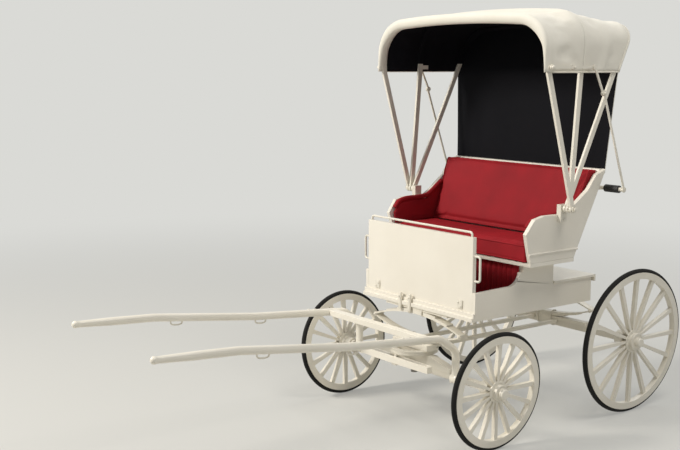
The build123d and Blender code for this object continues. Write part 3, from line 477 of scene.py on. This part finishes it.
def cloth_rows(rows, spans):
    """Rows of points from station to station, slack in the middle of each span."""
    found = []
    for n, (start, end, steps) in enumerate(zip(rows, rows[1:], spans)):
        for i in range(steps + (n == len(rows) - 2)):
            share = i / steps
            foot, top = start[0].lerp(end[0], share), start[1].lerp(end[1], share)
            half = start[2] + (end[2] - start[2]) * share
            corner = start[3] + (end[3] - start[3]) * share
            slack = start[4] * math.sin(math.pi * share)
            found.append(arch_row(foot, top, half, corner, 0.0, slack, n * 5 + share * 2.2))
    return found


def sheet_piece(name, rows, materials, outward):
    """A sheet from rows of points, its first material on the side that faces outward."""
    points = [point for row in rows for point in row]
    faces = grid_faces(len(rows), len(rows[0]))
    if outward:
        faces = [tuple(reversed(face)) for face in faces]
    return new_piece(name, points, faces, materials)


def declare(piece, thickness, replaced):
    thicken(piece, thickness)
    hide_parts(replaced)


def valance_hems(end, rows):
    """The doubled lower edge of the valance, along both sides."""
    hems = []
    for column, side_name in ((0, "left"), (-1, "right")):
        line = [row[column] for row in rows]
        piece = tube(f"valance_hem_{end}_{side_name}", line, hem_radius, hood_canvas, sides=6)
        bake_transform(piece)
        hems.append(piece)
    return hems


hem_radius = 0.0035
# Each cloth follows its first bow up to one point, and its second bow from the other
roll_rows = []
for ahead, inside in roll_section:
    shift = Vector((ahead, 0, 0))
    roll_rows.append(arch_row(front_foot + shift, front_top + shift, front_half, front_corner, inside))
# Steps of each cloth from one of its stations to the next
front_spans, rear_spans = (12, 2), (2, 9, 7, 3)
front_cloth = cloth_rows(front_rows, front_spans)
roof_front = sheet_piece("roof_cloth_front", roll_rows + front_cloth, [hood_canvas, hood_lining], True)
hems = valance_hems("front", front_cloth)
declare(roof_front, cloth, "canopy_front")
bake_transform(roof_front)

rear_cloth = cloth_rows(rear_rows, rear_spans)
roof_rear = sheet_piece("roof_cloth_rear", rear_cloth, [hood_canvas, hood_lining], True)
hems = valance_hems("rear", rear_cloth)
declare(roof_rear, cloth, "canopy_rear")
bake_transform(roof_rear)

# The curtain's lower edge, behind the seat: its place along the carriage and its half width
curtain_foot_x, curtain_foot_half = -0.8425, 0.4816
curtain_steps, curtain_columns = 30, 120
ripple_depth = 0.0035


def curtain_rows():
    """The back curtain, from the rear bow's hoop down to the back of the seat."""
    low_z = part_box("back_curtain")[0].z
    up = (rear_top - rear_foot).normalized()
    line = arch_line(rear_half, (rear_top - rear_foot).length, rear_corner, curtain_columns)
    knee = (rear_top - rear_foot).length - crown - rear_corner
    upper = [spot for spot in line if spot.y > knee]
    rows = []
    for r in range(curtain_steps + 1):
        row = []
        for spot in upper:
            z_top = (rear_foot + up * spot.y).z
            z = z_top + (low_z - z_top) * r / curtain_steps
            above = max(0.0, z - valance_z)
            down = max(0.0, valance_z - z) / (valance_z - low_z)
            x = rear_foot.x + above * (rear_top.x - rear_foot.x) / (rear_top.z - rear_foot.z)
            x += down * (curtain_foot_x - rear_foot.x)
            narrow = 1.0 + down * (curtain_foot_half / rear_half - 1.0)
            ripple = math.sin(spot.x * 13) + 0.6 * noise.noise(Vector((spot.x * 6, z * 2.5, 3)))
            x += ripple_depth * ripple * min(1.0, 4 * down) * min(1.0, 4 * (1.0 - down))
            row.append(Vector((x, spot.x * narrow, z)))
        rows.append(row)
    return rows


back_rows = curtain_rows()
curtain = sheet_piece("back_curtain_cloth", back_rows, [hood_canvas, hood_lining], True)
welt_radius = 0.005
welt = tube("rear_edge_welt", rear_cloth[-1], welt_radius, hood_canvas)
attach(welt, "rear_bow")
declare(curtain, cloth, "back_curtain")
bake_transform(curtain)

# The black sleeves on the bows, lining cloth that also stands in as painted shade inside the hood, start this
# high, inside the valance, and their cloth is thin
lining_and_shade_z = 1.618
lining_and_shade_wall = 0.0006


def bow_sleeve_of_lining_and_shade(name, node, body):
    """The black lining sewn round the hoop of a bow, above the hood's lower edge: it also paints the shade
    inside the hood over the white bow.
    """
    shell = bmesh.new()
    shell.from_mesh(nodes[node].data)
    shell.transform(nodes[node].matrix_world)
    bmesh.ops.remove_doubles(shell, verts=shell.verts, dist=weld_reach)
    everything = shell.verts[:] + shell.edges[:] + shell.faces[:]
    cut = (0, 0, lining_and_shade_z)
    bmesh.ops.bisect_plane(shell, geom=everything, plane_co=cut, plane_no=(0, 0, 1), clear_inner=True)
    mesh = bpy.data.meshes.new(name)
    shell.to_mesh(mesh)
    shell.free()
    mesh.materials.clear()
    mesh.materials.append(hood_lining)
    piece = bpy.data.objects.new(name, mesh)
    scene.collection.objects.link(piece)
    wall = piece.modifiers.new("wall", "SOLIDIFY")
    wall.thickness = lining_and_shade_wall
    wall.offset = 1.0
    settle(piece)
    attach(piece, body)


# Black sleeves on the middle and rear bows: partly lining cloth, partly painted shade on the white bows
# inside the hood
bow_sleeve_of_lining_and_shade("middle_bow_lining_and_shade", "middle_bow", "middle_bow")
bow_sleeve_of_lining_and_shade("rear_bow_lining_and_shade", "rear_bow", "rear_bow")

# Upholstery

# The seat in m: its ends along the carriage, its board's top, half its width there, its panels' wall
seat_front, seat_rear, seat_floor = -0.3995, -0.6775, 0.760
half_seat, panel = 0.459, 0.020
# How far the seat's sides and back lean out
flare, recline = math.radians(4.5), math.radians(22.6)
# The filling pushes this hard, for this many frames, and hardly moves a pad's edges inward
filling_pressure, filling_frames, inward_limit = 4.0, 20, 0.002


def case_of(name, node, material, inset, backing):
    """A pad's case: the node's outline, taken in on all sides to leave room for the filling."""
    mesh = nodes[node].data.copy()
    mesh.transform(nodes[node].matrix_world)
    mesh.materials.clear()
    mesh.materials.append(material)
    piece = bpy.data.objects.new(name, mesh)
    bpy.context.scene.collection.objects.link(piece)
    piece.modifiers.new("weld", "WELD").merge_threshold = weld_reach
    return stuff(piece, inset, backing)


def stuff(piece, inset, backing, voxel=0.006, cap=0.014):
    """Fill a pad's case: remesh it, take it in, blow it up as cloth, and cap how far it swells:
    least where wood backs it, and hardly inward, so that its edges stay where they are sewn."""
    remesh = piece.modifiers.new("remesh", "REMESH")
    remesh.mode = "VOXEL"
    remesh.voxel_size = voxel
    settle(piece)
    normals = [vertex.normal.copy() for vertex in piece.data.vertices]
    for vertex, normal in zip(piece.data.vertices, normals):
        vertex.co -= normal * inset
    start = [vertex.co.copy() for vertex in piece.data.vertices]
    filling = piece.modifiers.new("filling", "CLOTH")
    filling.settings.use_pressure = True
    filling.settings.uniform_pressure_force = filling_pressure
    filling.settings.effector_weights.gravity = 0.0
    filling.point_cache.frame_start = 1
    filling.point_cache.frame_end = filling_frames
    for step in range(1, filling_frames + 1):
        scene.frame_set(step)
    settle(piece)
    scene.frame_set(1)
    for vertex, origin, normal in zip(piece.data.vertices, start, normals):
        swell = vertex.co - origin
        outward = swell.dot(normal)
        most = inset if normal.dot(backing) > 0.5 else cap
        swell += normal * (min(max(outward, -inward_limit), most) - outward)
        vertex.co = origin + swell * min(1.0, cap / max(swell.length, 1e-9))
    softer = piece.modifiers.new("softer", "SMOOTH")
    softer.factor = 0.5
    softer.iterations = 5
    finer = piece.modifiers.new("finer", "SUBSURF")
    finer.levels = finer.render_levels = 1
    settle(piece)
    piece.data.polygons.foreach_set("use_smooth", [True] * len(piece.data.polygons))
    return piece


def finish_pad(piece, replaced=None):
    """Let a pad ride the chassis, and let it stand for its CAD node."""
    if replaced:
        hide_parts(replaced)
    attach(piece, "chassis")


def piping(name, pad, corners):
    """Corded seam laid on a pad's surface along a line of corners."""
    line = []
    for before, after in zip(corners, corners[1:]):
        steps = max(2, int((Vector(after) - Vector(before)).length / cord_step))
        for i in range(steps):
            aim_at = Vector(before).lerp(Vector(after), i / steps)
            spot, normal = pad.closest_point_on_mesh(aim_at)[1:3]
            line.append(spot + normal * cord_proud)
    seam = tube(name, line, cord_radius, red_velour, sides=7, closed=True)
    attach(seam, "chassis")


# The cord in the cushions' seams: its radius, how far it stands out, and the step along it
cord_radius, cord_proud, cord_step = 0.0038, 0.0015, 0.012
seam_inset = 0.004
seat_pad = case_of("seat_cushion_pad", "seat_cushion", red_velour, 0.004, Vector((0, 0, -1)))
low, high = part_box("seat_cushion")
finish_pad(seat_pad, "seat_cushion")
for edge, z in (("top", high.z - seam_inset), ("bottom", low.z + seam_inset)):
    ring = [(low.x, low.y, z), (high.x, low.y, z), (high.x, high.y, z), (low.x, high.y, z), (low.x, low.y, z)]
    piping(f"seat_cushion_piping_{edge}", seat_pad, ring)
back_pad = case_of("back_cushion_pad", "back_cushion", red_velour, 0.003, Vector((-1, 0, 0)))
finish_pad(back_pad, "back_cushion")


def on_seat_side(side, x, rise, depth):
    """A point inside one seat side: along it, above the seat board, and in from its outer face."""
    y = side * (half_seat + rise * math.tan(flare) - depth / math.cos(flare))
    return Vector((x, y, seat_floor + rise))


def on_back(side, rise, depth, inset):
    """A point in front of the seat back, by a depth, and in from one seat side."""
    x = seat_rear - rise * math.tan(recline) + depth / math.cos(recline)
    return Vector((x, side * (half_seat + rise * math.tan(flare) - panel - inset), seat_floor + rise))


# The back cushion's seam: heights of its corners and middle above the board, and its depth from the back
seam_rises, seam_depth = (0.088, 0.24, 0.386), 0.078
ring = [on_back(1, rise, seam_depth, seam_inset) for rise in seam_rises]
ring += [on_back(-1, rise, seam_depth, seam_inset) for rise in reversed(seam_rises)]
piping("back_cushion_piping", back_pad, ring + [ring[0]])

# Outline of the padding inside a seat side: along it from its front or rear edge, above the board
pad_front = ((0.016, 0.074), (0.026, 0.130), (-0.012, 0.180), (-0.062, 0.192))
pad_rear = ((0.084, 0.192), (0.040, 0.219), (-0.020, 0.258), (-0.030, 0.232), (0.018, 0.076))
outline = [(seat_front + x, z) for x, z in pad_front] + [(seat_rear + x, z) for x, z in pad_rear]
roll_line = [(seat_front + 0.012, 0.150)] + outline[2:6] + [(seat_rear - 0.022, 0.262)]
# Depths of the padding's back and front from the seat side's outer face, and the roll's radius
padding_depths, roll_radius = (0.0215, 0.0335), 0.0115


def rounded(line, passes=3):
    """A line with its corners cut, over and over."""
    for _ in range(passes):
        cut = [line[0]]
        for before, after in zip(line, line[1:]):
            cut += [before.lerp(after, 0.25), before.lerp(after, 0.75)]
        line = cut + [line[-1]]
    return line


for side, side_name in ((1, "left"), (-1, "right")):
    count = len(outline)
    points = [on_seat_side(side, x, z, depth) for depth in padding_depths for x, z in outline]
    faces = [tuple(range(count)), tuple(reversed(range(count, 2 * count)))]
    faces += [(i, i + count, (i + 1) % count + count, (i + 1) % count) for i in range(count)]
    if side < 0:
        faces = [tuple(reversed(face)) for face in faces]
    case = new_piece(f"arm_padding_{side_name}", points, faces, [red_velour])
    pad = stuff(case, 0.001, Vector((0, side, 0)), 0.005, 0.005)
    finish_pad(pad)
    path = rounded([on_seat_side(side, x, z + 0.006, panel + 0.010) for x, z in roll_line])
    roll = tube(f"arm_roll_{side_name}", path, roll_radius, red_velour, sides=12)
    finish_pad(roll)

# The pleated fall under the seat's front, and the footwell's carpet
low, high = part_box("seat_fall")
pleats, fall_columns, fall_steps = 22, 220, 12
pleat_depth, fall_swing, fall_cloth = 0.0035, 0.004, 0.002
fall_rows = []
for r in range(fall_steps + 1):
    down = r / fall_steps
    row = []
    for c in range(fall_columns + 1):
        across = c / fall_columns
        wander = 0.25 * noise.noise(Vector((across * 9, down * 1.3, 2)))
        wave = math.sin(2 * math.pi * (across * pleats + wander))
        depth = pleat_depth + pleat_depth * down + 0.001 * noise.noise(Vector((across * 30, down * 3, 5)))
        x = high.x - fall_swing + depth * wave + fall_swing * down
        row.append(Vector((x, low.y + (high.y - low.y) * across, high.z + (low.z - high.z) * down)))
    fall_rows.append(row)
fall = sheet_piece("pleated_fall", fall_rows, [red_velour], False)
thicken(fall, fall_cloth, 0)
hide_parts("seat_fall")
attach(fall, "chassis")

low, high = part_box("floor_carpet")
long_steps, cross_steps = 28, 72
carpet_wave, carpet_edge_drop, carpet_depth = 0.0012, 0.0022, 0.005
carpet_rows = []
for r in range(long_steps + 1):
    row = []
    for c in range(cross_steps + 1):
        x, y = low.x + (high.x - low.x) * r / long_steps, low.y + (high.y - low.y) * c / cross_steps
        on_edge = min(r, long_steps - r, c, cross_steps - c) == 0
        rise = carpet_wave * noise.noise(Vector((x * 9, y * 9, 1))) - (carpet_edge_drop if on_edge else 0.0)
        row.append(Vector((x, y, high.z + rise)))
    carpet_rows.append(row)
carpet = sheet_piece("footwell_carpet", carpet_rows, [red_carpet], False)
thicken(carpet, carpet_depth, 0)
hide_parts("floor_carpet")
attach(carpet, "chassis")

# Ironwork and mouldings


def joined(name, pieces, body):
    """Small like pieces as one object that rides a body."""
    points, faces = [], []
    for piece in pieces:
        first = len(points)
        points += [vertex.co.copy() for vertex in piece.data.vertices]
        faces += [tuple(first + i for i in polygon.vertices) for polygon in piece.data.polygons]
        material = piece.data.materials[0]
        bpy.data.objects.remove(piece)
    whole = new_piece(name, points, faces, [material])
    sharp = whole.modifiers.new("sharp", "EDGE_SPLIT")
    sharp.split_angle = sharp_angle
    settle(whole)
    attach(whole, body)


# The domed head of a bolt or rivet, from its seat up. Columns: shares of its radius and of its height
stud_rings = ((1.0, 0.0), (1.0, 0.45), (0.82, 0.8), (0.45, 0.97))
stud_sides = 10


def stud(centre, axis, radius, height):
    """A bolt or rivet head: a short round with a domed end, standing on a surface."""
    axis = Vector(axis).normalized()
    side = axis.orthogonal().normalized()
    up = axis.cross(side)
    points = []
    for share, rise in stud_rings:
        for k in range(stud_sides):
            turn = 2 * math.pi * k / stud_sides
            spoke = math.cos(turn) * side + math.sin(turn) * up
            points.append(Vector(centre) + axis * height * rise + radius * share * spoke)
    last = len(points) - stud_sides
    faces = [tuple(reversed(range(stud_sides)))]
    faces += grid_faces(len(stud_rings), stud_sides, closed=True)
    faces.append(tuple(range(last, len(points))))
    return new_piece("stud", points, faces, [white_iron])


def bar(centre, size, material):
    """A short flat bar or plate with its edges rounded."""
    half = [extent / 2 for extent in size]
    corners = [(x, y, z) for x in (-1, 1) for y in (-1, 1) for z in (-1, 1)]
    points = [Vector(centre) + Vector([h * c for h, c in zip(half, corner)]) for corner in corners]
    faces = [(0, 1, 3, 2), (4, 6, 7, 5), (0, 4, 5, 1), (2, 3, 7, 6), (0, 2, 6, 4), (1, 5, 7, 3)]
    piece = new_piece("bar", points, faces, [material], smooth=False)
    rounding = piece.modifiers.new("rounded edges", "BEVEL")
    rounding.width = min(half) * 0.5
    rounding.segments = 2
    return settle(piece)


def clip(centre, half_wide, low_z, high_z, radius=0.0035):
    """A bolt bent into a frame round a spring's leaves, across the carriage's length."""
    x, y = centre
    near, far = x - half_wide, x + half_wide
    ring = [(near, y, low_z), (near, y, high_z), (far, y, high_z), (far, y, low_z), (near, y, low_z)]
    return tube("clip", rounded([Vector(p) for p in ring], 2), radius, white_iron)


camber = math.radians(2.5)
tyre_thickness = 0.011
axle_x = {"front": -0.1395, "rear": -1.0195}
wheel_radius = {"front": 0.256, "rear": 0.341}
# From the wheel's middle: half the track, the hub's offset inward, and its flange's outer face
half_track, hub_dish, flange_face = 0.530, 0.008, 0.017
hub_radius = {"front": 0.034, "rear": 0.040}
rivet_count, rivet_outside_hub = 8, 0.007
rivet_radius, rivet_height = 0.0035, 0.0025
# Iron bands round the hub's outer end and its cap. Columns: out from the wheel's middle, width, radius
hub_bands = {
    "front": ((0.026, 0.011, 0.0335), (0.046, 0.006, 0.0225)),
    "rear": ((0.026, 0.011, 0.0395), (0.046, 0.006, 0.0225)),
}
# A band's section. Columns: share of its width, rise from its radius
band_section = ((0.0, -0.004), (0.0, 0.0), (0.2, 0.0018), (0.8, 0.0018), (1.0, 0.0), (1.0, -0.004))
band_sides = 32
along_axis = Vector((1, 0, 0))
for end in ("front", "rear"):
    for side, side_name in ((1, "left"), (-1, "right")):
        height = (wheel_radius[end] - tyre_thickness) * math.cos(camber) + tyre_thickness
        outward = Vector((0, side * math.cos(camber), -math.sin(camber)))
        up = outward.cross(along_axis)
        centre = Vector((axle_x[end], side * half_track, height)) + outward * (flange_face - hub_dish)
        rivets = []
        for k in range(rivet_count):
            turn = 2 * math.pi * (k + 0.5) / rivet_count
            spoke = math.cos(turn) * along_axis + math.sin(turn) * up
            spot = centre + (hub_radius[end] + rivet_outside_hub) * spoke
            rivets.append(stud(spot, outward, rivet_radius, rivet_height))
        joined(f"hub_rivets_{end}_{side_name}", rivets, f"{end}_{side_name}")
        middle = Vector((axle_x[end], side * half_track, height)) - outward * hub_dish
        bands = []
        for along, wide, radius in hub_bands[end]:
            rings = []
            for share, reach in band_section:
                ring_centre = middle + outward * (along + wide * share)
                for k in range(band_sides):
                    turn = 2 * math.pi * k / band_sides
                    spoke = math.cos(turn) * along_axis + math.sin(turn) * up
                    rings.append(ring_centre + spoke * (radius + reach))
            faces = grid_faces(len(band_section), band_sides, closed=True)
            last = len(rings) - band_sides
            for k in range(band_sides):
                after = (k + 1) % band_sides
                faces.append((last + after, after, k, last + k))
            bands.append(new_piece("band", rings, faces, [white_iron]))
        joined(f"hub_bands_{end}_{side_name}", bands, f"{end}_{side_name}")

# Columns: the spring's place along the carriage, its lower clips' ends in height, its eyes' height
spring_table = ((-0.1645, 0.355, 0.394, 0.4399), (-1.0195, 0.326, 0.400, 0.4426))
clip_y, clip_half_wide, upper_clip_ends = 0.045, 0.0245, (0.487, 0.519)
eye_y, eye_face = 0.290, 0.023
bolts = []
for x, low_z, high_z, eye_z in spring_table:
    for y in (-clip_y, clip_y):
        bolts.append(clip((x, y), clip_half_wide, low_z, high_z))
        bolts.append(clip((x, y), clip_half_wide, *upper_clip_ends))
    for y in (-eye_y, eye_y):
        for direction in (-1, 1):
            bolts.append(stud((x + direction * eye_face, y, eye_z), (direction, 0, 0), 0.0065, 0.006))
joined("spring_clips_and_eye_bolts", bolts, "chassis")

# Two straps over the sill, and a plate with two bolts at each lower corner of the dash
dash_front = -0.1545
sill_face = dash_front + 0.012
strap_size, plate_size = (0.012, 0.018, 0.080), (0.006, 0.032, 0.036)
ironwork = []
for y in (-0.098, -0.033):
    ironwork.append(bar((sill_face + 0.006, y, 0.538), strap_size, white_iron))
    ironwork.append(stud((sill_face + 0.010, y, 0.562), (1, 0, 0), 0.006, 0.006))
for side in (1, -1):
    ironwork.append(bar((dash_front + 0.003, side * 0.283, 0.585), plate_size, white_iron))
    for y, z in ((0.275, 0.593), (0.291, 0.577)):
        ironwork.append(stud((dash_front + 0.006, side * y, z), (1, 0, 0), 0.005, 0.004))
joined("dash_straps_and_bolts", ironwork, "chassis")

# A round moulding on the outside of the seat, above its board
beading = []
bead_rise, bead_radius = 0.040, 0.0055
front_x, rear_x = seat_front + bead_rise / 3, seat_rear - bead_rise * math.tan(recline)
corner_y, bead_z = half_seat + bead_rise * math.tan(flare), seat_floor + bead_rise
loop = ((front_x, corner_y), (rear_x, corner_y), (rear_x, -corner_y), (front_x, -corner_y))
for start, end in zip(loop, loop[1:]):
    beading.append(tube("bead", [(*start, bead_z), (*end, bead_z)], bead_radius, white_panel))
joined("seat_beading", beading, "chassis")

# Nuts on the hood's irons. Columns: body, ahead of and above the hood's pivot, out from the carriage's
# middle, radius, height
nut_table = (
    ("front_bow", 0.1772, 0.606, 0.5692, 0.0095, 0.009),
    ("prop_lower", -0.146, 0.496, 0.575, 0.007, 0.009),
    ("strut_front", 0.0436, 0.606, 0.5680, 0.007, 0.009),
    ("chassis", 0.0, -0.050, 0.4945, 0.006, 0.004),
    ("chassis", 0.0, -0.022, 0.4945, 0.006, 0.004),
    ("chassis", 0.0, 0.0, 0.5582, 0.009, 0.005),
)
nuts = {row[0]: [] for row in nut_table}
for side in (1, -1):
    for body, ahead, above, out, radius, height in nut_table:
        spot = (pivot.x + ahead, side * out, pivot.z + above)
        nuts[body].append(stud(spot, (0, side, 0), radius, height))
for body, pieces in nuts.items():
    joined(f"nuts_on_{body}", pieces, body)

# Two staples hang under each shaft, and two bolts hold the crossbar on it
shaft_pivot = Vector((-0.0845, 0, 0.2753))
shaft_y, staple_radius, shaft_half = 0.335, 0.0035, 0.0165
staple_line = ((-0.028, 0, -0.012), (-0.026, 0, -0.034), (0.026, 0, -0.030), (0.028, 0, -0.010))
crossbar_ahead, crossbar_above, shaft_slope = 0.28, 0.2045, 0.0857
staples = []
for y in (shaft_y, -shaft_y):
    for ahead, above in ((0.560, 0.2299), (0.980, 0.2826)):
        spot = shaft_pivot + Vector((ahead, y, above))
        line = rounded([spot + Vector(p) for p in staple_line])
        staples.append(tube("staple", line, staple_radius, white_iron))
    for ahead in (0.262, 0.298):
        above = crossbar_above + shaft_slope * (ahead - crossbar_ahead)
        spot = shaft_pivot + Vector((ahead, y, above)) + Vector((0, 0, shaft_half))
        staples.append(stud(spot, (0, 0, 1), 0.006, 0.005))
joined("shaft_staples_and_bolts", staples, "shafts")

hinge_x, hinge_z, hinge_half, hinge_radius = -0.6405, 0.6475, 0.03, 0.005
hinges = []
for y in (-0.25, 0.25):
    line = [(hinge_x, y - hinge_half, hinge_z), (hinge_x, y + hinge_half, hinge_z)]
    hinges.append(tube("knuckle", line, hinge_radius, white_iron, 10))
joined("deck_lid_hinges", hinges, "boot_lid")

# Light, floor and camera

scene.view_settings.view_transform = "Standard"
backdrop = "#DADAD6"


def direct_view(owner):
    """A socket that is 1 on camera, glossy and transmission rays, and 0 on the rest."""
    paths = add_node(owner, "ShaderNodeLightPath").outputs
    seen = add_node(
        owner,
        "ShaderNodeMath",
        links={0: paths["Is Camera Ray"], 1: paths["Is Glossy Ray"]},
        operation="MAXIMUM",
    )
    either = add_node(
        owner,
        "ShaderNodeMath",
        links={0: seen.outputs[0], 1: paths["Is Transmission Ray"]},
        operation="MAXIMUM",
    )
    return either.outputs[0]


# The backdrop's own colour is only seen, and a dimmer sky lights the carriage
world = bpy.data.worlds.new("studio")
scene.world = world
world.use_nodes = True
backing = world.node_tree.nodes["Background"]
backing.inputs["Color"].default_value = colour(backdrop)
backing.inputs["Strength"].default_value = 1.0
sky = add_node(world, "ShaderNodeBackground", {"Color": colour("#F4F6FA"), "Strength": 0.27})
either_sky = add_node(
    world,
    "ShaderNodeMixShader",
    links={0: direct_view(world), 1: sky.outputs[0], 2: backing.outputs[0]},
)
wire(world, either_sky.outputs[0], world.node_tree.nodes["World Output"], "Surface")

# A matt painted floor: it takes the shadow near the carriage and fades into the backdrop further out
floor_material, floor_shader = surface("matt_studio_floor", Roughness=0.95)
floor_shader.inputs["Base Color"].default_value = colour("#C9C8C2")
spot = add_node(floor_material, "ShaderNodeNewGeometry")
away = add_node(
    floor_material, "ShaderNodeVectorMath", links={0: spot.outputs["Position"]}, operation="LENGTH"
)
fade = add_node(
    floor_material,
    "ShaderNodeMapRange",
    {"From Min": 1.2, "From Max": 7.5, "To Min": 0.35},
    {"Value": away.outputs["Value"]},
    interpolation_type="SMOOTHSTEP",
)
glow = add_node(floor_material, "ShaderNodeEmission", {"Color": colour(backdrop), "Strength": 1.0})
far_and_direct = add_node(
    floor_material,
    "ShaderNodeMath",
    links={0: fade.outputs["Result"], 1: direct_view(floor_material)},
    operation="MULTIPLY",
)
blend_floor = add_node(
    floor_material,
    "ShaderNodeMixShader",
    links={0: far_and_direct.outputs[0], 1: floor_shader.outputs[0], 2: glow.outputs[0]},
)
wire(floor_material, blend_floor.outputs[0], floor_material.node_tree.nodes["Material Output"], "Surface")
floor_radius, floor_sides, floor_z = 60, 64, -0.0005
turns = [2 * math.pi * k / floor_sides for k in range(floor_sides)]
rim = [Vector((floor_radius * math.cos(turn), floor_radius * math.sin(turn), floor_z)) for turn in turns]
floor = new_piece("studio_floor", rim, [tuple(range(floor_sides))], [floor_material], smooth=False)


def lamp(name, place, size, power, tint):
    """A soft square lamp that faces the carriage."""
    light = bpy.data.lights.new(name, "AREA")
    light.shape = "SQUARE"
    light.size = size
    light.energy = power
    light.color = colour(tint)[:3]
    holder = bpy.data.objects.new(name, light)
    holder.location = place
    holder.rotation_euler = (carriage_middle - Vector(place)).to_track_quat("-Z", "Y").to_euler()
    scene.collection.objects.link(holder)


# Columns: lamp, place in m, size in m, power in W, tint
lamp_table = (
    ("key_lamp", (5.2, -2.6, 4.8), 1.6, 440, "#FFFAF2"),
    ("fill_lamp", (2.0, 6.0, 2.6), 3.5, 16, "#F6F8FF"),
    ("overhead_lamp", (-0.5, 2.6, 6.2), 2.5, 150, "#FFFCF6"),
    ("back_lamp", (-4.5, -1.5, 5.0), 3.0, 50, "#FFFFFF"),
)
carriage_middle = Vector((-0.3, 0.0, 0.9))
for row in lamp_table:
    lamp(*row)

camera_data = bpy.data.cameras.new("camera")
camera_data.sensor_width = 36.0
camera_data.lens = 57.9
camera_data.clip_end = 200.0
camera = bpy.data.objects.new("camera", camera_data)
yaw, pitch = math.radians(53.07), math.radians(8.20)
looking = Vector((-math.cos(yaw) * math.cos(pitch), -math.sin(yaw) * math.cos(pitch), -math.sin(pitch)))
camera.location = (3.0505, 3.68, 1.6)
camera.rotation_euler = looking.to_track_quat("-Z", "Y").to_euler()
scene.collection.objects.link(camera)
scene.camera = camera
